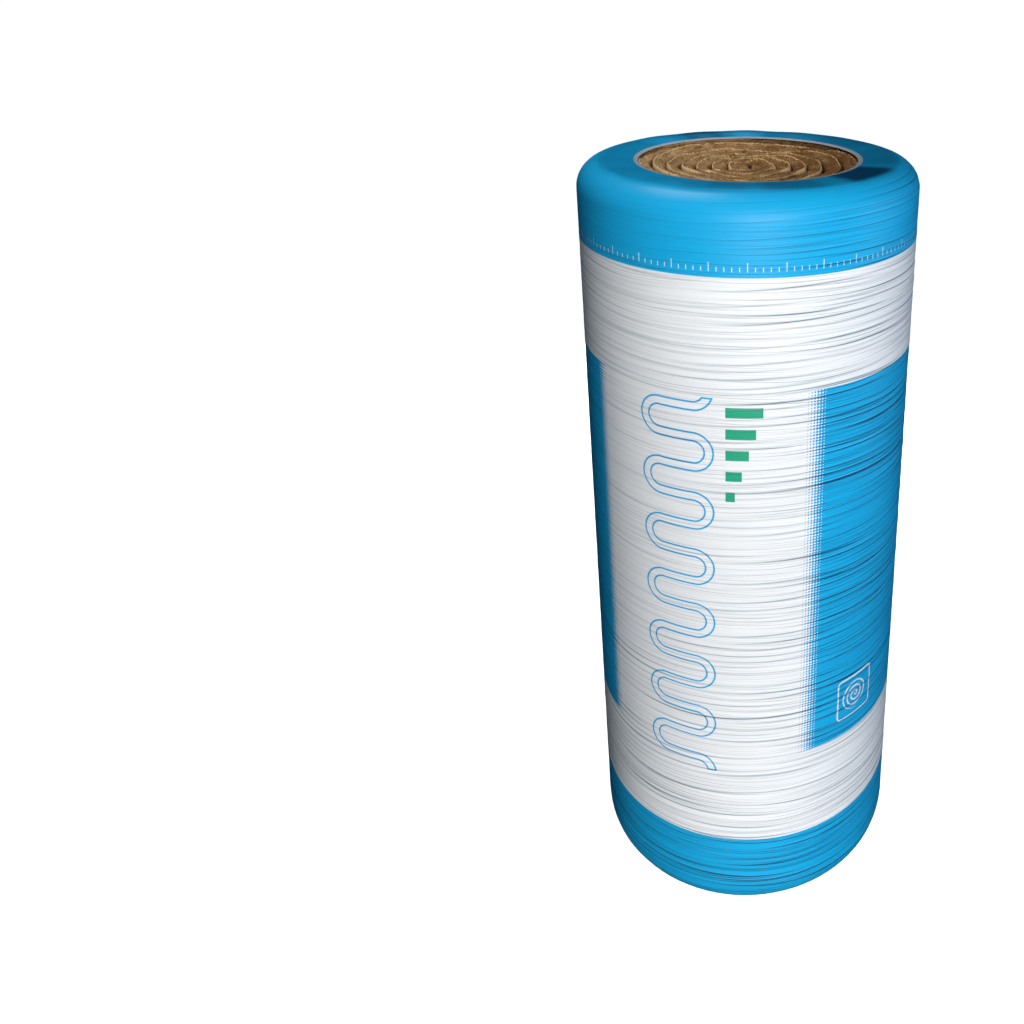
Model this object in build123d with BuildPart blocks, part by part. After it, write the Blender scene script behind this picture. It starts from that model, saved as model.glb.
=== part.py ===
from build123d import *

import os

# Insulation roll: one long mat of mineral wool, wound tight on itself and held by a printed film sleeve.
# It stands on its end. Z runs up its axis, the origin is the middle of the base on the floor, and the
# middle of the printed front faces -Y. All sizes are in millimetres.

# Roll
roll_height = 1200.0  # the width that the mat is sold in
roll_radius = 250.0
shoulder_radius = 38.0  # rounding of the upper edge
base_radius = 50.0  # rounding of the lower edge, which carries the weight

# Film sleeve, drawn in over both ends and left open in the middle
film_wall = 0.8  # the wraps of creased film, taken together
ring_width = 82.0  # film over each end, from the side of the roll to the opening
crest_width = 14.0  # level part of the upper ring, next to the shoulder
ring_sag = 3.0  # fall of the upper ring from there to the opening
hem_width = 10.0  # free edge of the film, which turns into the opening
hem_turn = 4.0

# Wound mat
film_gap = 0.3  # between the wool and the film
dish_depth = 12.0  # the middle turns lie this far below the outer ones
dish_lap = 9.0  # level part of the dish that reaches outside the opening
dish_bank = 9.0  # width of the slope from there to the foot, at the lower end
crest_lap = 2.0  # the slope of the upper end runs on this far under the crest of the ring

# Turns of the mat, which show on each end as one spiral
turn_pitch = 22.0
core_radius = 36.5  # innermost half turn of the gap between the turns
gap_depth = 16.0
upper_gap = 6.0  # width of the gap at the upper end, where the turns stand up free
lower_gap = 3.0  # and at the lower end, where the weight presses them flat
lip_rise = 3.5  # the outer edge of a free turn stands this far above its inner edge

opening_radius = roll_radius - ring_width
hem_radius = opening_radius - hem_width
crest_radius = roll_radius - shoulder_radius - crest_width
base_centre = Vector(roll_radius - base_radius, base_radius)
shoulder_centre = Vector(roll_radius - shoulder_radius, roll_height - shoulder_radius)


def turned_corner(centre, radius, start):
    """Points of a quarter turn in two flats, as the covered turns step round the edge of the roll."""
    return [centre + Vector(radius, 0).rotate(Axis.Z, start + angle) for angle in (0, 45, 90)]


# Film sleeve: smooth outside, and an inside that follows the corners of the wool, turned about the axis
with BuildPart() as film_wrap:
    with BuildSketch(Plane.XZ):
        with BuildLine():
            outside = FilletPolyline(
                (hem_radius, hem_turn),
                (opening_radius, 0),
                (roll_radius, 0),
                (roll_radius, roll_height),
                (crest_radius, roll_height),
                (opening_radius, roll_height - ring_sag),
                (hem_radius, roll_height - ring_sag - hem_turn),
                radius=(0, base_radius, shoulder_radius, 0, 0),
            )
            Polyline(
                outside @ 0,
                (hem_radius, hem_turn + film_wall),
                (opening_radius, film_wall),
                *turned_corner(base_centre, base_radius - film_wall, 270),
                *turned_corner(shoulder_centre, shoulder_radius - film_wall, 0),
                (crest_radius, roll_height - film_wall),
                (opening_radius, roll_height - ring_sag - film_wall),
                (hem_radius, roll_height - ring_sag - hem_turn - film_wall),
                outside @ 1,
            )
        make_face()
    revolve(axis=Axis.Z)

# Levels and sizes of the wool, from the film that it fills
skin = film_wall + film_gap
lower_level = skin + dish_depth
upper_level = roll_height - skin - dish_depth
dish_radius = opening_radius + dish_lap

# Gap between the turns: half circles about two centres half a pitch apart, each half a pitch wider than
# the one inside it, so that they join into one spiral
half_pitch = turn_pitch / 2
turn_reach = turn_pitch - upper_gap / 2  # from the middle of a gap over the turn outside it
half_turns = int((dish_radius - core_radius - half_pitch / 2 - turn_reach) / half_pitch) + 1

# Sections of the gap, going round from its floor: X is measured outwards from its middle, Y out of the end.
# At the upper end the cut also lowers the turn outside it, which rises to a lip at its own outer edge.
upper_section = [
    (0, -gap_depth),
    (upper_gap / 2, -lip_rise),
    (turn_reach, 0),
    (turn_reach, dish_depth),
    (-upper_gap / 2, dish_depth),
    (-upper_gap / 2, 0),
]
lower_section = [
    (0, -gap_depth),
    (lower_gap / 2, 0),
    (lower_gap / 2, dish_depth),
    (-lower_gap / 2, dish_depth),
    (-lower_gap / 2, 0),
]


def cut_gap(level, outward, section):
    """Cut the spiral into the end at this level. Outward is 1 for the upper end and -1 for the lower."""
    for index in range(half_turns):
        side = 1 - 2 * (index % 2)
        centre = side * half_pitch / 2
        start = centre + side * (core_radius + index * half_pitch)
        with BuildSketch(Plane((start, 0, level), x_dir=(side, 0, 0), z_dir=(0, -outward * side, 0))) as gap:
            with BuildLine():
                Polyline(*section, close=True)
            make_face()
        revolve(gap.sketch, axis=Axis((centre, 0, 0), (0, 0, 1)), revolution_arc=180, mode=Mode.SUBTRACT)


# Wound mat: the section inside the film, dished at both ends and turned, with the spiral cut into each end
with BuildPart() as wool_roll:
    with BuildSketch(Plane.XZ):
        with BuildLine():
            Polyline(
                (0, lower_level),
                (dish_radius, lower_level),
                (dish_radius + dish_bank, skin),
                *turned_corner(base_centre, base_radius - skin, 270),
                *turned_corner(shoulder_centre, shoulder_radius - skin, 0),
                (crest_radius + crest_lap, roll_height - skin),
                (dish_radius, upper_level),
                (0, upper_level),
                close=True,
            )
        make_face()
    revolve(axis=Axis.Z)
    cut_gap(upper_level, 1, upper_section)
    cut_gap(lower_level, -1, lower_section)

film_wrap.part.label = "film_wrap"
wool_roll.part.label = "wool_roll"

os.makedirs("parts", exist_ok=True)
export_step(film_wrap.part, "parts/film_wrap.step")
export_step(wool_roll.part, "parts/wool_roll.step")
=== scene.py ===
import time
from math import cos, pi, radians, sin

import bpy
import numpy as np
from mathutils import Matrix, Quaternion, Vector


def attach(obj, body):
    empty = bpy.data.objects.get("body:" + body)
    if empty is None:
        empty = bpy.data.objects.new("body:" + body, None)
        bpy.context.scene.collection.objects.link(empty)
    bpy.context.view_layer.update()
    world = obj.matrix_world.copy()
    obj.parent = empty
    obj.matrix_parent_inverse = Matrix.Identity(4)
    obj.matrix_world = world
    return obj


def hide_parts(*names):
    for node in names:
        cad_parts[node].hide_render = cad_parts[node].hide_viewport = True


# Insulation roll, standing on its end: a wound wool mat in a creased, printed film sleeve.
# Everything is in metres. Z goes up the axis and the middle of the printed front faces -Y.

started = time.time()


def report(stage):
    # The stage that is done, and the seconds since the start.
    print("%-28s %5.1f s" % (stage, time.time() - started))


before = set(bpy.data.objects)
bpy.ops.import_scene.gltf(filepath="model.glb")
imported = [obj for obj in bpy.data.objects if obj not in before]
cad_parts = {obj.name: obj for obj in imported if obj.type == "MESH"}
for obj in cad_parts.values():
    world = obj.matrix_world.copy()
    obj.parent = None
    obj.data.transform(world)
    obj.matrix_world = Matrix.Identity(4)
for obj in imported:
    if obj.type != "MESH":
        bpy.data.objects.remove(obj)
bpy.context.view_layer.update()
report("frame loaded")


# Shapes

def ripples(angle, across, count, turns, waves, seed):
    # Sum of cosine waves, each with a whole number of periods round the roll and any number of radians per
    # metre across, divided so that its spread is about 1. Angle and across are arrays, or a row and a
    # column.
    rng = np.random.default_rng(seed)
    total = np.zeros(np.broadcast(angle, across).shape)
    for _ in range(count):
        periods = rng.integers(turns[0], turns[1] + 1)
        slope = rng.uniform(waves[0], waves[1]) * rng.choice((-1, 1))
        total += np.cos(periods * angle + slope * across + rng.uniform(0, 2 * pi))
    return total / np.sqrt(count / 2)


def smoothStep(value, low, high):
    # 0 below low, 1 above high, and a cubic with level ends between them.
    t = np.clip((value - low) / (high - low), 0, 1)
    return t * t * (3 - 2 * t)


def roundedLine(corners):
    # Dense points along a line with rounded corners, and the length up to each of them. Each corner is
    # (radius from the axis, height, rounding), and the rounding is an arc that touches both straight runs.
    line = [np.array(corners[0][:2])]
    for before, corner, after in zip(corners, corners[1:], corners[2:]):
        here = np.array(corner[:2])
        back = np.array(before[:2]) - here
        ahead = np.array(after[:2]) - here
        back /= np.hypot(*back)
        ahead /= np.hypot(*ahead)
        half = np.arccos(np.clip(back @ ahead, -1, 1)) / 2
        if half > pi / 2 - 1e-4:        # a straight run has no arc
            line.append(here)
            continue
        centre = here + (back + ahead) / np.hypot(*(back + ahead)) * corner[2] / np.sin(half)
        first = here + back * corner[2] / np.tan(half) - centre
        last = here + ahead * corner[2] / np.tan(half) - centre
        sweep = np.arctan2(first[0] * last[1] - first[1] * last[0], first @ last)
        turn = np.linspace(0, sweep, 33)[:, None]
        square = np.array((-first[1], first[0]))
        line.extend(centre + (first * np.cos(turn) + square * np.sin(turn)))
    line.append(np.array(corners[-1][:2]))
    line = np.array(line)
    length = np.concatenate(((0,), np.cumsum(np.hypot(*np.diff(line, axis=0).T))))
    keep = np.concatenate(((True,), np.diff(length) > 1e-9))
    return line[keep], length[keep]


def alongLine(line, length, at, offset):
    # Radius and height of a grid with one row for each length in at: the line's own point there, moved by
    # the offset along the outward normal, which is the direction of travel turned a quarter clockwise.
    radius = np.interp(at, length, line[:, 0])
    high = np.interp(at, length, line[:, 1])
    step = 0.0008            # the direction is taken this far each way
    ends = np.clip(np.stack((at - step, at + step)), 0, length[-1])
    dr = np.diff(np.interp(ends, length, line[:, 0]), axis=0)[0]
    dz = np.diff(np.interp(ends, length, line[:, 1]), axis=0)[0]
    size = np.hypot(dr, dz)
    return radius[:, None] + (dz / size)[:, None] * offset, high[:, None] + (-dr / size)[:, None] * offset


def spacedRows(spans):
    # Lengths at which the rows of a grid lie. Each span is (from, to, spacing), and the next one follows it.
    rows = [np.array([spans[0][0]])]
    for low, high, spacing in spans:
        count = max(1, int(round((high - low) / spacing)))
        rows.append(np.linspace(low, high, count + 1)[1:])
    return np.concatenate(rows)


def gridFaces(rows, columns, closeRows=False):
    # Four-sided faces of a grid whose columns join up, and whose rows join up too where closeRows is true.
    row, column = np.meshgrid(np.arange(rows if closeRows else rows - 1), np.arange(columns), indexing="ij")
    here, above = row * columns, (row + 1) % rows * columns
    beside = (column + 1) % columns
    return np.stack((here + column, here + beside, above + beside, above + column), -1).reshape(-1, 4)


def newPiece(name, points, faces, values):
    # A smooth mesh object from points and faces, with one named number per point for each of the values.
    mesh = bpy.data.meshes.new(name)
    mesh.from_pydata(points, [], faces)
    mesh.update()
    mesh.shade_smooth()
    for key, numbers in values.items():
        stored = mesh.attributes.new(key, "FLOAT", "POINT")
        stored.data.foreach_set("value", numbers.astype(np.float32).ravel())
    piece = bpy.data.objects.new(name, mesh)
    bpy.context.scene.collection.objects.link(piece)
    print(name, "triangles", len(mesh.loops) - 2 * len(mesh.polygons))
    return piece


# Materials, worked out on links, which are the outputs of nodes. A value may be a link or a number.

def newMaterial(name):
    # A material, its node tree and its surface shader.
    material = bpy.data.materials.new(name)
    material.use_nodes = True
    return material, material.node_tree, material.node_tree.nodes["Principled BSDF"]


def isLink(value):
    # Whether the value is the output of a node.
    return isinstance(value, bpy.types.NodeSocket)


def put(tree, kind, inputs=None, **settings):
    # Adds a node, sets its properties, and fills its inputs with numbers or links.
    node = tree.nodes.new("ShaderNode" + kind)
    for key, value in settings.items():
        setattr(node, key, value)
    for key, value in (inputs or {}).items():
        if isLink(value):
            tree.links.new(value, node.inputs[key])
        else:
            node.inputs[key].default_value = value
    return node


def putBeside(kind, values, **settings):
    # Adds a node in the tree of the first link among its values, and gives its first output.
    tree = next(value.id_data for value in values.values() if isLink(value))
    return put(tree, kind, values, **settings).outputs[0]


def calc(operation, *values):
    # One step of arithmetic.
    return putBeside("Math", dict(enumerate(values)), operation=operation)


def plus(first, *others):
    # Sum of all the values.
    for value in others:
        first = calc("ADD", first, value)
    return first


def minus(first, second):
    # First less second.
    return calc("SUBTRACT", first, second)


def times(first, *others):
    # Product of all the values.
    for value in others:
        first = calc("MULTIPLY", first, value)
    return first


def larger(first, *others):
    # The largest of the values.
    for value in others:
        first = calc("MAXIMUM", first, value)
    return first


def distance(value, place):
    # How far the value is from the place, to either side.
    return calc("ABSOLUTE", minus(value, place))


def hypotenuse(x, y):
    # Square root of x ^ 2 + y ^ 2.
    return calc("SQRT", calc("MULTIPLY_ADD", x, x, times(y, y)))


def ramp(value, low, high, start=0.0, end=1.0, kind="LINEAR"):
    # Start up to low, end from high on, and a straight or smooth run between them.
    limits = {"From Min": low, "From Max": high, "To Min": start, "To Max": end}
    return putBeside("MapRange", {"Value": value, **limits}, interpolation_type=kind)


def stepDown(value, near, far):
    # 1 up to near, 0 from far on, with a smooth fall between them.
    return ramp(value, near, far, 1.0, 0.0, "SMOOTHSTEP")


def below(value, limit, soft=0.0005):
    # 1 where the value is under the limit, with an edge as wide as soft.
    return ramp(value, limit - soft / 2, limit + soft / 2, 1.0, 0.0)


def between(value, low, high, soft):
    # 1 where the value lies between low and high, with edges as wide as soft.
    return times(ramp(value, low - soft / 2, low + soft / 2), below(value, high, soft))


def vector(x, y, z):
    # One place from its three coordinates.
    return putBeside("CombineXYZ", {0: x, 1: y, 2: z})


def noise(place, scale, detail, roughness=0.5):
    # Cloudy noise about 0.5, with this many cells per unit of place.
    settings = {"Vector": place, "Scale": scale, "Detail": detail, "Roughness": roughness}
    return putBeside("TexNoise", settings)


def attribute(tree, name):
    # The number that newPiece stored at each point.
    return put(tree, "Attribute", attribute_name=name).outputs["Fac"]


def blendColour(amount, first, second):
    # The first colour where the amount is 0, the second where it is 1.
    node = put(amount.id_data, "Mix", {0: amount, 6: first, 7: second}, data_type="RGBA")
    return node.outputs[2]


# Film sleeve

film = {
    "radius": 0.250,
    "height": 1.200,
    "shoulder": 0.038,       # rounding of the upper edge
    "base": 0.050,           # rounding of the lower edge
    "opening": 0.1665,       # radius of the round opening in each end
    "openingRound": 0.006,   # rounding where the film turns into the opening
    "crest": 0.014,          # level part of the upper ring beside the shoulder
    "crestRound": 0.060,
    "sag": 0.0015,           # fall of the upper ring to the opening
    "hem": 0.0066,           # grey free edge that turns into the opening
    "hemTurn": 0.0008,
    "hemRows": 0.014,        # the rows lie closer this far from each free edge
    "wall": 0.0012,          # at the hems
    "thicker": 0.0016,       # and this much more behind the side
    "columns": 92,
    "creaseRows": 0.00130,   # spacing of the rows on the side
    "insideRows": 56,        # and number of the rows behind them
    "lineSpacing": 0.0114,   # between the creases of one family
    "lineJitter": 0.17,      # how far a crease lies out of its place, as a share of that
    "lineBend": 0.0028,      # of all creases together
    "lineWander": 0.0006,    # of each crease by itself
    "lineWidth": 0.0019,
    "lineDepth": 0.00030,
    "linePower": (0.50, 0.52),    # mean strength of a crease, and how much it comes and goes round the roll
    "linePowers": (0.45, 1.5),    # a crease has that strength times a random number between these
    "families": (("A", 1, 1.0), ("B", 7, 0.8)),   # of creases: name, added to the seed, strength
    "window": (0.0020, 0.0036),   # the finish shows a crease up to the first distance, and not past the next
    "ringSmooth": 0.9,       # how far the creases fade out over the upper ring
    "ringFade": (0.030, 0.012),   # from this far past the shoulder's start to this far past its end
    "bandSmooth": 0.72,      # how far they fade over the upper band,
    "bandLean": 0.16,        # less by this on the right, and more on the left
    "bandFade": (0.085, 0.030),   # from this far to this far below the shoulder
    "busySide": 60,          # degrees from the front to the middle of the side that stays creased
    "calm": 0.40,            # share of the creasing that is left round the other side, above the foot
    "footFade": (0.20, 0.55),     # that sets in from this far to this far above the base's rounding
    "swells": 0.00020,       # broad rise and fall between the creases
    "ringFolds": 0.0003,
    "lapAngle": 172.0,       # where the film's outer end is glued down, at the back
    "lap": 0.0005,           # its thickness there
    "most": 0.0022,          # the relief goes no further in or out than this
    "seed": 11,
}


def filmLine():
    # The sleeve's outer line, from the lower hem up the side and over to the upper hem.
    ringHeight = film["height"] - film["sag"]
    return roundedLine((
        (film["opening"] - film["hem"], film["hemTurn"], 0),
        (film["opening"], 0.0, film["openingRound"]),
        (film["radius"], 0.0, film["base"]),
        (film["radius"], film["height"], film["shoulder"]),
        (film["radius"] - film["shoulder"] - film["crest"], film["height"], film["crestRound"]),
        (film["opening"], ringHeight, film["openingRound"]),
        (film["opening"] - film["hem"], ringHeight - film["hemTurn"], 0),
    ))


def filmMarks(line, length):
    # Length of the line up to where each of its parts begins: that of the dense point nearest to the place.
    places = {
        "base": (film["radius"] - film["base"], 0),
        "side": (film["radius"], film["base"]),
        "shoulder": (film["radius"], film["height"] - film["shoulder"]),
        "crest": (film["radius"] - film["shoulder"], film["height"]),
    }
    return {name: length[np.abs(line - place).sum(1).argmin()] for name, place in places.items()}


def creaseFamily(angle, along, low, high, seed):
    # Creases that run nearly level round the roll, one every lineSpacing. All are bent by one slow ripple of
    # height and angle, so that neighbours lean together, and each wanders a little by itself. For each point
    # of the grid: how far it lies above the nearest crease, and how strong that crease is there.
    rng = np.random.default_rng(seed)
    places = np.arange(low, high, film["lineSpacing"])
    places += film["lineSpacing"] * rng.uniform(-film["lineJitter"], film["lineJitter"], len(places))
    bend = ripples(angle, places[:, None], 9, (1, 3), (0, 7), film["seed"])
    order = np.arange(len(places))[:, None]
    wander = ripples(angle, order * 2.3, 14, (1, 5), (0, 3), seed + 1)
    lines = places[:, None] + bend * film["lineBend"] + wander * film["lineWander"]
    mean, swing = film["linePower"]
    power = mean + swing * ripples(angle, order * 3.1, 16, (1, 5), (0, 3), seed + 2)
    power *= rng.uniform(*film["linePowers"], len(places))[:, None]
    power = np.clip(power, 0, 1.45) ** 1.25
    above = np.full((len(along), len(angle)), 1.0)
    strength = np.zeros_like(above)
    for line, strong in zip(lines, power):
        rows = np.abs(along - line.mean()) < 0.035
        gap = along[rows][:, None] - line
        near = np.abs(gap) < np.abs(above[rows])
        above[rows] = np.where(near, gap, above[rows])
        strength[rows] = np.where(near, strong, strength[rows])
    return above, strength


def filmRelief(angle, along, marks, total):
    # How far each point stands out of the smooth line, and what the finish needs to know about the creases.
    # The relief is the swells less both families of creases, times the share that is shown, and to that are
    # added the folds of the ring and the step of the outer end.
    ringFade, bandFade, footFade = film["ringFade"], film["bandFade"], film["footFade"]
    foot = smoothStep(along, marks["base"], marks["side"])[:, None]
    ring = smoothStep(along, marks["shoulder"] + ringFade[0], marks["crest"] + ringFade[1])[:, None]
    band = smoothStep(along, marks["shoulder"] - bandFade[0], marks["shoulder"] - bandFade[1])[:, None]
    aboveFoot = smoothStep(along, marks["side"] + footFade[0], marks["side"] + footFade[1])[:, None]
    busy = smoothStep(np.cos(angle - radians(film["busySide"])), 0.1, 0.9)
    shown = foot * (1 - film["ringSmooth"] * ring)
    shown = shown * (1 - band * (film["bandSmooth"] - film["bandLean"] * np.sin(angle)))
    shown = shown * (1 - (1 - film["calm"]) * (1 - busy) * aboveFoot)

    relief = ripples(angle[None, :], along[:, None], 30, (0, 4), (50, 330), 3) * film["swells"]
    values = {}
    for name, seed, share in film["families"]:
        above, strength = creaseFamily(angle, along, marks["base"] - 0.01, marks["crest"] + 0.01,
                                       film["seed"] + seed)
        # a groove, and a lower and wider swelling above it
        across = above / film["lineWidth"]
        groove = np.exp(-across ** 2) - 0.5 * np.exp(-((across - 1.7) / 1.2) ** 2)
        relief -= film["lineDepth"] * share * strength * groove
        window = 1 - smoothStep(np.abs(above), *film["window"])
        values["above" + name] = above * 1000     # in millimetres
        values["strength" + name] = strength * window * shown * share
    relief *= shown

    # pulled towards the opening, the film of the ring has broad radial folds
    folds = ripples(angle[None, :], along[:, None], 14, (7, 19), (0, 12), 5)
    folded = smoothStep(along, marks["crest"] - 0.03, total - 0.045)
    folded = folded * (1 - 0.8 * smoothStep(along, total - 0.03, total - 0.009))
    relief += film["ringFolds"] * folds * folded[:, None]

    # the film's outer end lies one thickness proud and fades away round the back, in degrees past the lap
    past = (np.degrees(angle) % 360 - film["lapAngle"]) % 360
    lap = smoothStep(past, 0, 0.6) * (1 - smoothStep(past, 30, 90))
    relief += film["lap"] * lap * foot * (1 - ring)
    return np.clip(relief, -film["most"], film["most"]), values


def makeFilm():
    # The outer line carried round the axis with its relief, and back inside at the wall's thickness, where
    # only the hems follow the relief. Each column is a closed loop, at its angle from the front towards the
    # right: the point is (radius * sine, -radius * cosine, height).
    line, length = filmLine()
    total = length[-1]
    marks = filmMarks(line, length)
    along = spacedRows((
        (0, film["hemRows"], 0.0035),
        (film["hemRows"], marks["base"], 0.0055),
        (marks["base"], marks["side"], 0.0017),
        (marks["side"], marks["shoulder"], film["creaseRows"]),
        (marks["shoulder"], marks["crest"], 0.0019),
        (marks["crest"], total - film["hemRows"], 0.0034),
        (total - film["hemRows"], total, 0.0022),
    ))
    angle = -pi + 2 * pi * np.arange(film["columns"]) / film["columns"]
    relief, values = filmRelief(angle, along, marks, total)
    outer = alongLine(line, length, along, relief)

    inside = np.concatenate((along[:3], np.linspace(along[3], along[-4], film["insideRows"]), along[-3:]))
    nearest = np.abs(inside[:, None] - along).argmin(1)
    fromHem = (total / 2 - np.abs(inside - total / 2))[:, None]
    inset = relief[nearest] * (1 - smoothStep(fromHem, 0.02, 0.05))
    inset = inset - film["wall"] - film["thicker"] * smoothStep(fromHem, 0.05, 0.09)
    inner = alongLine(line, length, inside, inset)

    radius, high = (np.concatenate((out, back[::-1])) for out, back in zip(outer, inner))
    points = np.stack((radius * np.sin(angle), -radius * np.cos(angle), high), -1).reshape(-1, 3)
    faces = gridFaces(len(radius), film["columns"], closeRows=True)
    plain = np.zeros_like(inner[0])
    values = {name: np.concatenate((numbers, plain)) for name, numbers in values.items()}
    piece = newPiece("filmSleeve", points, faces, values)

    # map: across is the share of the way round from the back, and up is the share of the outer line
    across = faces % film["columns"] / film["columns"]
    across[:, 1:3] = np.where(across[:, 1:3] == 0, 1, across[:, 1:3])     # the last column ends at 1
    up = (np.concatenate((along, inside[::-1])) / total)[faces // film["columns"]]
    corners = np.stack((across, up), -1).astype(np.float32)
    piece.data.uv_layers.new(name="printPlace").data.foreach_set("uv", corners.ravel())
    return piece, total, marks["side"]


# Prints on the film. Across is metres from the middle of the front, towards the right, and up is metres from
# the floor. Each function below gives 1 on its print and 0 beside it.

coilPrint = {                # a ribbon to and fro, the drawing sign for soft insulation
    "across": -0.1000,
    "low": 0.2900,
    "turns": 14,
    "turnHeight": 0.0460,
    "reach": 0.0480,         # from the middle line to the middle of each bend
    "ribbon": 0.0150,
    "outline": 0.0026,
}


def coilShape(across, high):
    # Level runs joined by half circles, to and fro. The distance from their middle line is that between half
    # a step and the hypotenuse of (how far past the run's end, height from the nearest bend's middle).
    step = coilPrint["turnHeight"]
    x = minus(across, coilPrint["across"])
    up = minus(high, coilPrint["low"])
    past = larger(minus(calc("ABSOLUTE", x), coilPrint["reach"] - step / 2), 0.0)
    onLeft = calc("LESS_THAN", x, 0.0)
    bend = calc("PINGPONG", calc("MULTIPLY_ADD", onLeft, step, up), step)
    away = distance(hypotenuse(past, bend), step / 2)
    # cut off at both ends, and only the ribbon's outline is inked
    half = (coilPrint["turns"] - 0.5) * step / 2 + coilPrint["ribbon"] / 2
    ends = minus(distance(up, half), half)
    edge = larger(minus(away, coilPrint["ribbon"] / 2), ends)
    return below(distance(edge, -coilPrint["outline"] / 2), coilPrint["outline"] / 2)


barPrint = {                 # a stack of bars, each longer than the one below it
    "across": -0.0290,
    "low": 0.7700,
    "count": 5,
    "step": 0.0320,
    "high": 0.0150,
    "shortest": 0.0130,
    "growth": 0.0095,
}


def barShape(across, high):
    # Bar number n, from 0, is shortest + n * growth long and stands n * step up.
    up = calc("DIVIDE", minus(high, barPrint["low"]), barPrint["step"])
    inBar = times(calc("FRACT", up), barPrint["step"])
    x = minus(across, barPrint["across"])
    reach = calc("MULTIPLY_ADD", calc("FLOOR", up), barPrint["growth"], barPrint["shortest"])
    inLength = times(below(minus(x, reach), 0.0), calc("GREATER_THAN", x, 0.0))
    inStack = between(up, 0.0, barPrint["count"], 0.01)
    return times(below(inBar, barPrint["high"]), inLength, inStack)


rollPrint = {                # a coil in a frame, for the roll seen from its end
    "across": 0.1900,
    "up": 0.3850,
    "frame": 0.0370,         # half its width
    "corner": 0.0070,
    "coil": 0.0275,
    "pitch": 0.0088,
    "line": 0.0028,
}


def rollShape(across, high):
    # The coil's line is where radius / pitch - angle / full turn is a whole number and a half. The frame's
    # is at the distance corner from a smaller square.
    x = minus(across, rollPrint["across"])
    y = minus(high, rollPrint["up"])
    reach = hypotenuse(x, y)
    turn = calc("DIVIDE", calc("ARCTAN2", y, x), 2 * pi)
    place = calc("FRACT", minus(calc("DIVIDE", reach, rollPrint["pitch"]), turn))
    off = times(distance(place, 0.5), rollPrint["pitch"])
    coil = times(below(off, rollPrint["line"] / 2), below(reach, rollPrint["coil"]))
    side = rollPrint["frame"] - rollPrint["corner"]
    past = [larger(minus(calc("ABSOLUTE", value), side), 0.0) for value in (x, y)]
    return larger(coil, below(distance(hypotenuse(*past), rollPrint["corner"]), rollPrint["line"] / 2))


rulePrint = {                # marks round the roll, above the edge of the upper band
    "low": 1.1020,
    "step": 0.0100,
    "short": 0.0060,
    "long": 0.0120,
    "line": 0.0011,
}


def ruleShape(across, high):
    # A short mark at each step, and a long one at every fifth.
    low = rulePrint["low"]
    marks = 0.0
    for steps, tall in ((1, rulePrint["short"]), (5, rulePrint["long"])):
        mark = below(calc("PINGPONG", across, rulePrint["step"] * steps / 2), rulePrint["line"] / 2)
        marks = larger(marks, times(mark, between(high, low, low + tall, 0.0005)))
    return marks


fieldPrint = {               # the blue bands and the blue panel
    "upperBand": 1.094,      # blue above this height
    "lowerBand": 0.1535,     # and below this one
    "panelLow": 0.317,
    "panelHigh": 0.932,
    "panelFrom": 24.2,       # degrees from the middle of the front, towards the right
    "panelTo": 303.4,
    "dotFade": 6.0,          # degrees over which the panel's edge breaks up into dots
    "dotPitch": 0.0046,
    "soft": 0.0008,          # width of the level edges
}


def fieldShape(degrees, high):
    # Bands where the height is outside both limits, and a panel between two angles. A point of the panel is
    # inked where its cover, which falls off at the panel's ends, and its dots come to over 1. The dots are
    # half of 1 and the mean of two waves, one round the roll and one up it.
    soft = fieldPrint["soft"]
    bands = minus(1.0, between(high, fieldPrint["lowerBand"], fieldPrint["upperBand"], soft))
    turned = calc("MODULO", plus(minus(degrees, 180.0), 360.0), 360.0)
    first, last, fade = fieldPrint["panelFrom"], fieldPrint["panelTo"], fieldPrint["dotFade"]
    rise = ramp(turned, first - fade, first + 0.35 * fade)
    fall = ramp(turned, last - 0.35 * fade, last + 0.7 * fade)
    cover = times(rise, minus(1.0, fall))
    turnsPerMetre = 2 * pi / fieldPrint["dotPitch"]
    roundWave = calc("COSINE", times(degrees, radians(1) * film["radius"] * turnsPerMetre))
    upWave = calc("COSINE", times(high, turnsPerMetre))
    dots = plus(times(plus(roundWave, upWave), 0.25), 0.5)
    inked = ramp(plus(times(cover, 1.08), dots), 1.00, 1.08)
    panel = times(inked, between(high, fieldPrint["panelLow"], fieldPrint["panelHigh"], soft))
    return larger(bands, panel)


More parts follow.
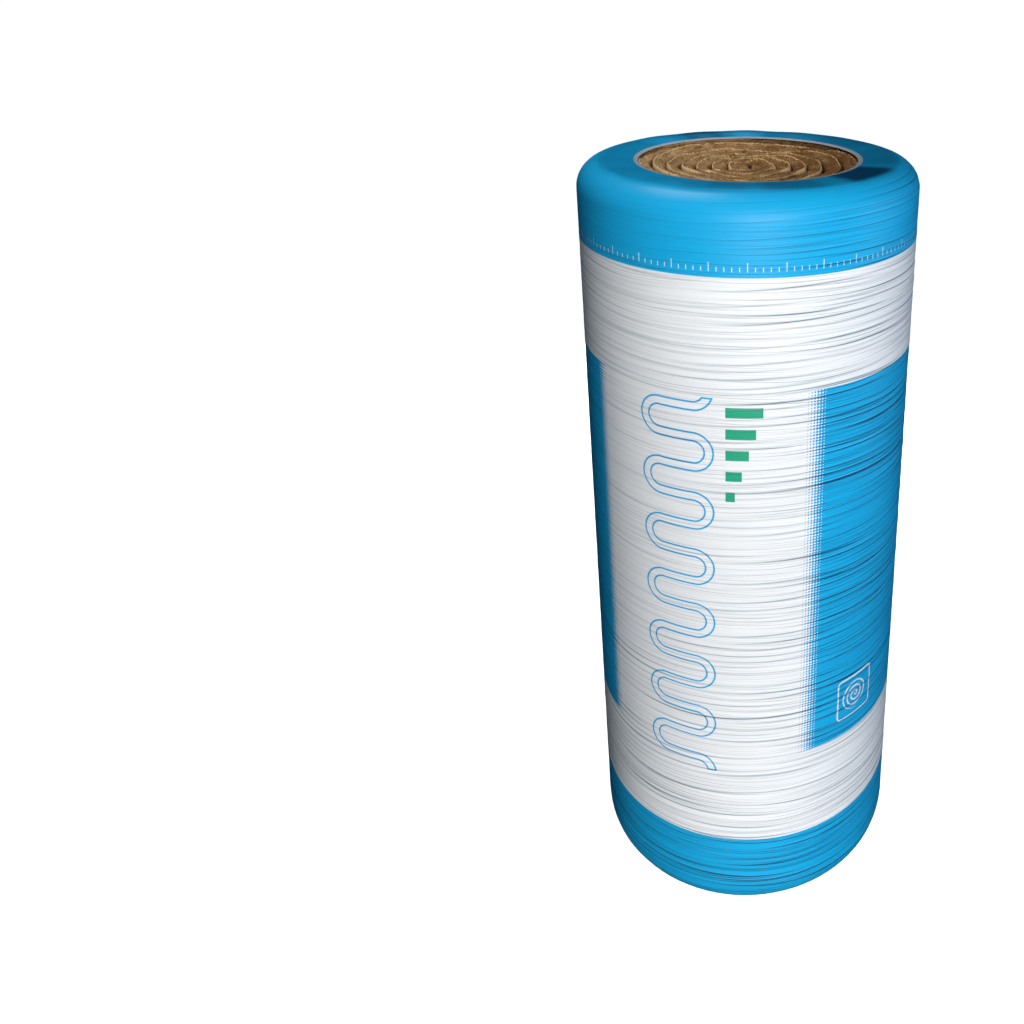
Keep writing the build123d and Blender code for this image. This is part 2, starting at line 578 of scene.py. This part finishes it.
filmFinish = {
    "blue": (0.010, 0.415, 0.770, 1),
    "white": (0.88, 0.89, 0.90, 1),
    "green": (0.010, 0.380, 0.200, 1),
    "hemGrey": (0.44, 0.44, 0.44, 1),
    # painted shade colours, for the creases on white and on blue and for the upper ring, and the painted
    # glint's colour
    "whiteShade": (0.085, 0.10, 0.12, 1),
    "blueShade": (0.001, 0.045, 0.120, 1),
    "glintColour": (0.30, 0.75, 0.98, 1),
    "unprinted": 0.85,       # how clear of ink the roll print and the rule are
    # at each crease: millimetres above it, full up to this distance, gone by this one, how much it shows
    # the crease looks are painted: line and shade are painted shade in and just below each crease, glint a
    # painted highlight just above it
    "line": (0.0, 0.1, 1.3, 0.50),
    "shade": (-1.2, 0.2, 2.4, 0.13),
    "glint": (1.7, 0.1, 1.0, 0.28),
    "fine": ((0.0066, 0.0010, 1.0), (0.0039, 0.0008, 0.7)),   # finer lines: spacing, width, strength
    "fineHeights": (0.02, 1.18, 0.05),   # they lie between these heights, with edges as soft as the last
    "fineShade": 0.32,       # how much painted shade they lay on the film
    "fineMore": 0.26,        # and how much more near the foot and on the right
    "footHeights": (0.20, 0.42),    # all of that up to the first height, and none from the next on
    "rightAngles": (60, 20, 75),    # degrees: the right's middle, all this far from it, none this far
    "fineBand": 0.40,        # share of the fine lines that is left in the upper band
    "bandHeights": (1.09, 1.13),    # which sets in between these heights
    "onBlue": 0.60,          # how much more all of that painted shade shows on the blue
    "darkest": 0.90,
    "ringShade": 0.30,          # painted shade: how much darker the upper ring is painted than the side
    # painted reflections on the upper ring, darker wedges and, where the last number is negative, lighter
    # ones:
    # degrees from the front, half width, how much
    "ringShadeAndReflections": (
        (54, 18, 0.72), (17, 15, 0.24), (-157, 12, 0.46), (90, 22, 0.18), (128, 18, 0.18), (-8, 9, 0.12),
        (180, 10, -0.26), (-133, 12, -0.14), (-36, 14, -0.10),
    ),
    "ringShadeFrom": (0.068, 0.050),   # metres from the upper free edge over which that sets in
    "roughness": (0.38, 0.50),      # from here to here, in clouds
    "ringShine": 0.27,       # how much less rough the upper ring is, where the film is drawn tight
    "shineFrom": (0.075, 0.050),    # metres from the upper free edge over which that sets in
    "refraction": 1.33,
    "bump": 0.0010,          # depth of the fine lines
}


def fineLines(roundX, roundY, high, spacing, width):
    # Fine level lines, one in each step of the height, which a slow noise has bent by up to 8 mm to
    # either side. The line lies at a random place in its step, and comes and goes round the roll.
    bend = times(noise(vector(roundX, roundY, times(high, 7.0)), 0.9, 1.0), 0.016 / spacing)
    step = plus(calc("DIVIDE", high, spacing), bend)
    number = calc("FLOOR", step)
    chance = putBeside("TexWhiteNoise", {"W": number}, noise_dimensions="1D")
    off = times(distance(calc("FRACT", step), plus(times(chance, 0.5), 0.25)), spacing)
    comes = ramp(noise(vector(roundX, roundY, times(number, 3.7)), 1.3, 1.0), 0.38, 0.68)
    return times(stepDown(off, 0.0, width), comes)


def creaseShow(tree, look):
    # What one of the painted looks of a crease comes to, painted shade or a painted highlight, added up over
    # both families.
    middle, full, gone, much = filmFinish[look]
    shown = 0.0
    for name, _, _ in film["families"]:
        off = distance(attribute(tree, "above" + name), middle)
        shown = plus(shown, times(stepDown(off, full, gone), attribute(tree, "strength" + name)))
    return times(shown, much)


def filmMaterial(total, sideLow):
    # The print's colours, with painted shade and painted reflections on the upper ring, and painted shade
    # and painted highlights at the creases and fine lines. On the side, the height is the share of the outer
    # line times its length, less what lies below the side, plus the base's rounding.
    material, tree, shader = newMaterial("printedFilm")
    place = put(tree, "UVMap", uv_map="printPlace").outputs[0]
    roundShare, upShare, _ = put(tree, "SeparateXYZ", {0: place}).outputs
    degrees = times(roundShare, 360.0)      # 0 at the back, 180 at the front
    fromFront = minus(degrees, 180.0)
    across = times(fromFront, radians(1) * film["radius"])
    high = plus(times(upShare, total), film["base"] - sideLow)
    turn = times(roundShare, 2 * pi)
    roundX, roundY = calc("COSINE", turn), calc("SINE", turn)

    ink = larger(fieldShape(degrees, high), coilShape(across, high))
    clear = larger(rollShape(across, high), ruleShape(across, high))
    ink = times(ink, minus(1.0, times(clear, filmFinish["unprinted"])))
    colour = blendColour(ink, filmFinish["white"], filmFinish["blue"])
    colour = blendColour(barShape(across, high), colour, filmFinish["green"])

    # painted shade and painted reflections on the upper ring
    ringShadeAndReflections = filmFinish["ringShade"]
    for where, half, much in filmFinish["ringShadeAndReflections"]:
        off = calc("ABSOLUTE", calc("WRAP", minus(fromFront, where), 180.0, -180.0))
        ringShadeAndReflections = plus(ringShadeAndReflections, times(stepDown(off, 0.55 * half, half), much))
    starts = [(total - away) / total for away in filmFinish["ringShadeFrom"]]
    ringShadeAndReflections = times(ringShadeAndReflections, minus(1.0, stepDown(upShare, *starts)))
    colour = blendColour(ringShadeAndReflections, colour, filmFinish["blueShade"])

    # painted shade and painted highlights at the creases and fine lines
    fine = 0.0
    for spacing, width, strength in filmFinish["fine"]:
        fine = plus(fine, times(fineLines(roundX, roundY, high, spacing, width), strength))
    kept = filmFinish["fineBand"]
    share = calc("MULTIPLY_ADD", stepDown(high, *filmFinish["bandHeights"]), 1 - kept, kept)
    fine = times(fine, times(between(high, *filmFinish["fineHeights"]), share))
    nearFoot = stepDown(high, *filmFinish["footHeights"])
    middle, full, gone = filmFinish["rightAngles"]
    onRight = stepDown(distance(degrees, 180.0 + middle), full, gone)
    much = calc("MULTIPLY_ADD", larger(nearFoot, onRight), filmFinish["fineMore"], filmFinish["fineShade"])
    shade = plus(creaseShow(tree, "line"), creaseShow(tree, "shade"), times(fine, much))
    shade = times(shade, calc("MULTIPLY_ADD", ink, filmFinish["onBlue"], 1.0))
    shade = calc("MINIMUM", shade, filmFinish["darkest"])
    colour = blendColour(creaseShow(tree, "glint"), colour, filmFinish["glintColour"])
    paintedShadeColour = blendColour(ink, filmFinish["whiteShade"], filmFinish["blueShade"])
    colour = blendColour(shade, colour, paintedShadeColour)

    # the grey hem at both free edges
    hemShare, hemSoft = film["hem"] / total, 0.0008 / total
    onHem = ramp(distance(upShare, 0.5), 0.5 - hemShare - hemSoft, 0.5 - hemShare)
    colour = blendColour(onHem, colour, filmFinish["hemGrey"])
    tree.links.new(colour, shader.inputs["Base Color"])

    clouds = noise(put(tree, "TexCoord").outputs["Object"], 14.0, 3.0)
    tone = ramp(clouds, 0.0, 1.0, *filmFinish["roughness"])
    starts = [(total - away) / total for away in filmFinish["shineFrom"]]
    tight = ramp(upShare, *starts, 0.0, filmFinish["ringShine"])
    tree.links.new(minus(tone, tight), shader.inputs["Roughness"])
    shader.inputs["IOR"].default_value = filmFinish["refraction"]
    bump = put(tree, "Bump", {"Strength": 0.5, "Distance": filmFinish["bump"], "Height": minus(1.0, fine)})
    tree.links.new(bump.outputs[0], shader.inputs["Normal"])
    return material


filmSleeve, filmLength, filmSide = makeFilm()
filmSleeve.data.materials.append(filmMaterial(filmLength, filmSide))
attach(filmSleeve, "root")
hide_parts("film_wrap")
report("film sleeve made")


# Wound wool

wool = {
    "radius": 0.2445,
    "skin": 0.0045,          # the covered ends lie this far inside the roll's
    "lowCorner": 0.046,      # rounding of the covered edges
    "topCorner": 0.034,
    "flatTo": 0.198,         # the ends are level from the film's edge to this radius
    "pitch": 0.022,          # from turn to turn
    "firstGap": 0.0200,      # where the gap between the turns crosses +X first
    "level": 0.0125,         # the middle turns' lips lie this far inside the ends
    "bank": 0.0065,          # and the turns beside the film this much less
    "gapDepth": 0.015,
    "lipRise": 0.0048,       # of each turn's outer edge over its inner edge
    "wander": (0.0016, 0.0005),   # slow and quick wander of the turns
    "wider": 0.18,           # how much wider the outer turns are on the right
    "rough": 0.0005,
    "torn": 0.0030,          # depth of the torn spots
    "swells": 0.0012,
    "slit": 0.009,           # depth of the slit in the middle, where the mat was first folded over
    "nub": 0.004,            # and height of the wool that bulges round it
    "open": 0.172,           # the turns stand free inside this radius
    "middle": 0.0012,        # radius of the fan that closes each end
    "columns": 300,
    "topRows": 0.00085,      # spacing of the rows on the ends
    "bottomRows": 0.0022,
    "pressed": 0.25,         # share of the turns' form that is left at the lower end, under the weight
    "seed": 4,
}


def turnEnd(angle, radius, free, seed):
    # Depth of the end below the lips, and what the finish needs to know about the turns. The place within a
    # turn is the fraction of (radius - first gap) / pitch + angle / full turn, after slow ripples have
    # pushed the turns about. Just inside each narrow gap stands a lip, the turn's outer edge, and the turn
    # falls away from it towards its inner edge. The form fades towards the front, and is all flatter where
    # free is less than 1.
    wander = ripples(angle, radius, 10, (1, 4), (5, 40), seed) * wool["wander"][0]
    wander += ripples(angle, radius, 12, (4, 14), (20, 120), seed + 1) * wool["wander"][1]
    wander *= smoothStep(radius, 0.004, 0.030)
    wander -= wool["wider"] * np.clip(radius - 0.095, 0, None) * (0.5 + 0.5 * np.cos(angle)) ** 2
    phase = (radius + wander - wool["firstGap"]) / wool["pitch"] + angle / (2 * pi)
    turn = np.floor(phase)
    t = phase - turn

    # how much of its form a turn shows here
    slow = ripples(angle + 2 * pi * turn, turn * 1.7, 12, (1, 5), (0.2, 2.2), seed + 2)
    quick = ripples(angle, radius, 14, (3, 11), (20, 160), seed + 3)
    some = np.clip(0.80 + 0.38 * slow + 0.25 * quick, 0.10, 1.3)
    front = 0.5 - 0.5 * np.sin(angle)
    some *= 1 - 0.80 * smoothStep(front, 0.66, 0.92)
    some *= smoothStep(radius, 0.016, 0.030) * (1 + 0.35 * smoothStep(front, 0.40, 0.10))

    lip = np.exp(-((1 - t - 0.145) / 0.065) ** 2)
    gap = np.exp(-((1 - t) / 0.055) ** 2) + np.exp(-(t / 0.085) ** 2)
    rough = ripples(angle, radius, 70, (10, 130), (200, 2800), seed + 4)
    torn = smoothStep(ripples(angle, radius, 40, (8, 60), (80, 900), seed + 5), 1.2, 2.3)
    slit = np.exp(-((radius * np.cos(angle) - 0.003) / 0.0022) ** 2)
    slit *= 1 - smoothStep(radius, 0.009, 0.016)
    nub = np.exp(-(radius / 0.013) ** 4)
    down = free * wool["lipRise"] * (1 - 0.35 * t - 0.65 * lip * some)
    down += wool["gapDepth"] * gap * some * (0.3 + 0.7 * free)
    down += wool["rough"] * rough + wool["torn"] * torn * smoothStep(radius, 0.01, 0.03)
    down += wool["swells"] * ripples(angle, radius, 10, (1, 4), (10, 60), seed + 6)
    down += (wool["slit"] * slit - wool["nub"] * nub) * free

    fromGap = np.where(t < 0.5, t, t - 1) * wool["pitch"]
    # where the finish paints the lip's highlight and the gap's shade
    shown = np.clip(1.35 * some, 0, 1) * (1 - smoothStep(np.abs(fromGap), 0.0060, 0.0085)) * free
    # marks the torn spots and the slit, where the finish paints shade
    shadedPits = np.clip(0.7 * torn + 0.9 * slit * free, 0, 1)
    bare = 1 - smoothStep(radius, wool["open"] - 0.006, wool["open"] + 0.006)     # not under the film
    return down * bare, {"fromGap": fromGap * 1000, "turnShown": shown * bare, "shadedPits": shadedPits * bare}


def endLevel(radius):
    # Distance inside the roll's end: dished in the middle, and rising to the skin under the film.
    level = wool["level"] - wool["bank"] * smoothStep(radius, 0.105, 0.160)
    return level - (level - wool["skin"]) * smoothStep(radius, wool["open"] + 0.004, wool["flatTo"])


def makeWool():
    # One closed grid from the middle of the lower end, out and up the side, to the middle of the upper end.
    # Each corner is a quarter circle, and a fan of triangles closes each middle.
    high, edge, skin, columns = film["height"], wool["radius"], wool["skin"], wool["columns"]
    lowCorner, topCorner, flat = wool["lowCorner"], wool["topCorner"], wool["flatTo"]
    low = spacedRows(((wool["middle"], wool["open"], wool["bottomRows"]), (wool["open"], flat, 0.005)))
    top = spacedRows(((wool["middle"], wool["open"], wool["topRows"]), (wool["open"], flat, 0.004)))[::-1]
    angle = 2 * pi * np.arange(columns) / columns
    lowA, lowR = np.broadcast_arrays(angle[None, :], low[:, None])
    topA, topR = np.broadcast_arrays(angle[None, :], top[:, None])
    lowDown, lowValues = turnEnd(lowA, lowR, wool["pressed"], wool["seed"] + 40)
    topDown, topValues = turnEnd(topA, topR, 1.0, wool["seed"])

    corner = np.linspace(0, pi / 2, 7)
    sideR = np.concatenate((
        edge - lowCorner + lowCorner * np.sin(corner),
        np.full(6, edge),
        edge - topCorner + topCorner * np.cos(corner),
    ))
    sideZ = np.concatenate((
        skin + lowCorner - lowCorner * np.cos(corner),
        np.linspace(skin + lowCorner, high - skin - topCorner, 8)[1:-1],
        high - skin - topCorner + topCorner * np.sin(corner),
    ))
    ones = np.ones(columns)
    radius = np.concatenate((lowR, sideR[:, None] * ones, topR))
    lowZ = endLevel(lowR) + lowDown
    topZ = high - endLevel(topR) - topDown
    height = np.concatenate((lowZ, sideZ[:, None] * ones, topZ))
    points = np.stack((radius * np.cos(angle), radius * np.sin(angle), height), -1).reshape(-1, 3)
    middles = np.array(((0, 0, height[0].mean()), (0, 0, height[-1].mean())))

    column = np.arange(columns)
    beside = (column + 1) % columns
    lastRow = radius.size - columns
    lowFan = np.stack((np.full_like(column, radius.size), beside, column), -1)
    topFan = np.stack((np.full_like(column, radius.size + 1), lastRow + column, lastRow + beside), -1)
    faces = gridFaces(len(radius), columns).tolist() + lowFan.tolist() + topFan.tolist()
    plain = np.zeros((len(sideR), columns))
    values = {}
    for name in topValues:
        whole = np.concatenate((lowValues[name], plain, topValues[name]))
        values[name] = np.concatenate((whole.ravel(), np.zeros(len(middles))))
    return newPiece("woundWool", np.concatenate((points, middles)), faces, values)


woolFinish = {
    "light": (0.84, 0.56, 0.28, 1),
    "brown": (0.190, 0.082, 0.022, 1),
    # the colour of the painted shade
    "paintedShadeColour": (0.018, 0.008, 0.003, 1),
    "strands": (9.0, 620.0),      # they run round with the turns: cells per radian, and per metre outwards
    "crumbs": 420.0,              # cells per metre
    "patches": 45.0,
    "grain": 0.45,                # share of the strands in the grain, the rest of which is crumbs
    "grainRange": (0.42, 0.60),   # brown up to the first, light from the second on
    "ragged": 3.0,                # how far the crumbs tear the lines at a gap, in millimetres
    # at each gap: millimetres outwards from its middle, full up to this distance, gone by this one
    "lip": (-2.6, 0.4, 1.7),      # painted highlight on the lip, the raised edge of the turn inside it
    # painted shade in the gap
    "gap": (0.7, 0.8, 2.5),
    "foot": (2.8, 0.5, 4.2),      # painted shade on the wool beyond it, at the foot of the next turn
    "footShade": 0.42,
    "lipHighlight": 1.05,             # how much the painted highlight on the lips, the grain and the patches lighten the wool
    "grainLight": 0.42,
    "patchLight": 0.7,
    "paintedSideLight": 0.18,                # painted light: how much lighter the wool is painted on the left, and darker on the right
    "darkest": 0.95,
    "bump": 0.0018,               # depth of the grain
}


def woolMaterial():
    # Brown wool lightened by grain, patches, a painted highlight on the lips and painted light on the left
    # side, then darkened by painted shade at the gaps, at the foot of each turn and in torn spots and the
    # slit. The strands are noise drawn out round the axis, and the place across a gap is made ragged by the
    # crumbs.
    material, tree, shader = newMaterial("mineralWool")
    where = put(tree, "TexCoord").outputs["Object"]
    x, y, _ = put(tree, "SeparateXYZ", {0: where}).outputs
    reach = larger(hypotenuse(x, y), 0.002)
    perTurn, perMetre = woolFinish["strands"]
    roundX, roundY = (times(calc("DIVIDE", place, reach), perTurn) for place in (x, y))
    strands = noise(vector(roundX, roundY, times(reach, perMetre)), 1.0, 5.0, 0.65)
    crumbs = noise(where, woolFinish["crumbs"], 4.0, 0.75)
    patches = noise(where, woolFinish["patches"], 3.0)

    ragged = plus(attribute(tree, "fromGap"), times(minus(crumbs, 0.5), woolFinish["ragged"]))
    shown = attribute(tree, "turnShown")

    def atGap(look):
        # how far the line, middle millimetres from the gap, shows here
        middle, full, gone = woolFinish[look]
        return times(stepDown(distance(ragged, middle), full, gone), shown)

    lip, gap, foot = atGap("lip"), atGap("gap"), atGap("foot")
    grain = plus(times(strands, woolFinish["grain"]), times(crumbs, 1 - woolFinish["grain"]))
    amount = plus(
        times(ramp(grain, *woolFinish["grainRange"]), woolFinish["grainLight"]),
        # painted highlight on the lips
        times(lip, woolFinish["lipHighlight"]),
        times(minus(patches, 0.5), woolFinish["patchLight"]),
        # painted light: lighter on the left and darker on the right, as if lit from the left
        ramp(x, -0.15, 0.15, woolFinish["paintedSideLight"], -woolFinish["paintedSideLight"]),
    )
    # painted shade in the gaps, at the foot of each turn, and in the torn spots and the slit
    darker = larger(gap, times(foot, woolFinish["footShade"]), attribute(tree, "shadedPits"))
    colour = blendColour(amount, woolFinish["brown"], woolFinish["light"])
    colour = blendColour(times(darker, woolFinish["darkest"]), colour, woolFinish["paintedShadeColour"])
    tree.links.new(colour, shader.inputs["Base Color"])
    shader.inputs["Roughness"].default_value = 0.95
    shader.inputs["Specular IOR Level"].default_value = 0.10
    bump = put(tree, "Bump", {"Strength": 1.0, "Distance": woolFinish["bump"], "Height": grain})
    tree.links.new(bump.outputs[0], shader.inputs["Normal"])
    return material


woundWool = makeWool()
woundWool.data.materials.append(woolMaterial())
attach(woundWool, "root")
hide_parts("wool_roll")
report("wound wool made")


# Studio

studio = {
    "floor": (0.90, 0.90, 0.90, 1),
    "floorGlow": 1.0,        # the floor shines by itself, so that it is white far from the lamps too
    "floorHalf": 40.0,       # half its width
    "eye": (0.0, -1.4224, 1.4811),
    "pitch": 20.322,         # degrees down
    "roll": 0.272,
    "focal": 34.45,
    "shift": (-0.2299, -0.1937),
    "room": (0.12, 0.58, 1.0, 1),
    "roomGlow": (0.032, 0.058),     # on the left, and on the right
    "openings": ((-1, 6, 1.0), (-60, 12, 0.16)),   # degrees from straight behind, half width, glow
    "openingHeights": (0.27, 0.70, 0.08),          # sines of their lower and upper angles, and softness
}

# place and aim are (degrees from the front towards the right, metres from the axis, height)
lamps = {
    "key": dict(place=(7, 1.86, 1.03), aim=(0, 0, 0.65), size=(0.85, 1.9), power=21.5, lean=13),
    "upperFront": dict(place=(9, 1.7, 1.60), aim=(0, 0, 1.0), size=(0.9, 0.5), power=12.5),
    "lowFront": dict(place=(5, 0.80, 0.07), aim=(0, 0, 0.06), size=(0.9, 0.10), power=1.85),
    "rightSide": dict(place=(84, 2.56, 1.0), aim=(0, 0, 0.65), size=(0.9, 2.0), power=13.5,
                      colour=(0.53, 0.70, 1.0)),
    "overOpening": dict(place=(-85, 0.27, 1.74), aim=(90, 0.02, 1.20), size=(0.28, 0.28), power=2.0),
    "back": dict(place=(176, 2.2, 0.58), aim=(0, 0, 0.58), size=(1.8, 1.1), power=34, mirrored=False),
}


def makeFloor():
    # One large square, which is matt and isn't mirrored.
    half = studio["floorHalf"]
    corners = [(-half, -half, 0), (half, -half, 0), (half, half, 0), (-half, half, 0)]
    mesh = bpy.data.meshes.new("floor")
    mesh.from_pydata(corners, [], [(0, 1, 2, 3)])
    floor = bpy.data.objects.new("floor", mesh)
    bpy.context.scene.collection.objects.link(floor)
    material, _, shader = newMaterial("paleFloor")
    shader.inputs["Base Color"].default_value = studio["floor"]
    shader.inputs["Roughness"].default_value = 0.9
    shader.inputs["Specular IOR Level"].default_value = 0.0
    shader.inputs["Emission Color"].default_value = (1, 1, 1, 1)
    shader.inputs["Emission Strength"].default_value = studio["floorGlow"]
    mesh.materials.append(material)
    floor.visible_diffuse = False       # so large and so pale a floor would drown the roll's shaded side
    floor.visible_glossy = False


def addPanel(name, place, aim, size, power, colour=(1, 1, 1), lean=0, mirrored=True):
    # A soft rectangular lamp. Lean is how far its upper end is turned to the right, in degrees, and mirrored
    # is whether the film shows its reflection. A spot is (sine of its angle * metres, -cosine * metres,
    # height).
    def spot(turn, away, high):
        return Vector((sin(radians(turn)) * away, -cos(radians(turn)) * away, high))

    lamp = bpy.data.lights.new(name, "AREA")
    lamp.shape = "RECTANGLE"
    lamp.size, lamp.size_y = size
    lamp.energy = power
    lamp.color = colour
    light = bpy.data.objects.new(name, lamp)
    light.location = spot(*place)
    toward = spot(*place) - spot(*aim)
    facing = toward.to_track_quat("Z", "Y") @ Quaternion((0, 0, 1), -radians(lean))
    light.rotation_euler = facing.to_euler()
    light.visible_camera = False
    light.visible_glossy = mirrored
    bpy.context.scene.collection.objects.link(light)


def makeWorld():
    # What the film mirrors: a dim room, darker to the left, with soft upright openings behind the roll. The
    # background behind the floor is plain white.
    world = bpy.data.worlds.new("studio")
    world.use_nodes = True
    tree = world.node_tree
    tree.nodes.clear()
    x, y, up = put(tree, "SeparateXYZ", {0: put(tree, "TexCoord").outputs["Generated"]}).outputs
    turn = calc("ARCTAN2", x, y)
    openings = 0.0
    for where, width, bright in studio["openings"]:
        off = distance(turn, radians(where))
        openings = plus(openings, ramp(off, radians(width), 0.0, 0.0, bright, "SMOOTHSTEP"))
    openings = times(openings, between(up, *studio["openingHeights"]))
    glow = plus(ramp(x, -0.8, 0.8, *studio["roomGlow"]), openings)
    room = put(tree, "Background", {"Color": studio["room"], "Strength": glow})
    plain = put(tree, "Background", {"Color": (1, 1, 1, 1), "Strength": 1.0})
    seen = put(tree, "LightPath").outputs["Is Camera Ray"]
    mix = put(tree, "MixShader", {0: seen, 1: room.outputs[0], 2: plain.outputs[0]})
    put(tree, "OutputWorld", {0: mix.outputs[0]})
    bpy.context.scene.world = world


def makeCamera():
    # The view's axes from its pitch and roll: each is a column of the camera's matrix, before its place.
    pitch, roll = radians(studio["pitch"]), radians(studio["roll"])
    ahead = np.array((0, cos(pitch), -sin(pitch)))
    level = np.array((1.0, 0, 0))
    upright = np.cross(level, ahead)
    right = level * cos(roll) + upright * sin(roll)
    top = upright * cos(roll) - level * sin(roll)
    data = bpy.data.cameras.new("camera")
    data.lens = studio["focal"]
    data.sensor_width = 36
    data.shift_x, data.shift_y = studio["shift"]
    camera = bpy.data.objects.new("camera", data)
    axes = np.stack((right, top, -ahead, studio["eye"]), 1).tolist()
    camera.matrix_world = Matrix(axes + [[0, 0, 0, 1]])
    bpy.context.scene.collection.objects.link(camera)
    bpy.context.scene.camera = camera


makeFloor()
for lampName, lampSettings in lamps.items():
    addPanel(lampName, **lampSettings)
makeWorld()
makeCamera()
bpy.context.scene.view_settings.view_transform = "Standard"
report("studio made")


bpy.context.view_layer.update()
report("sizes written")
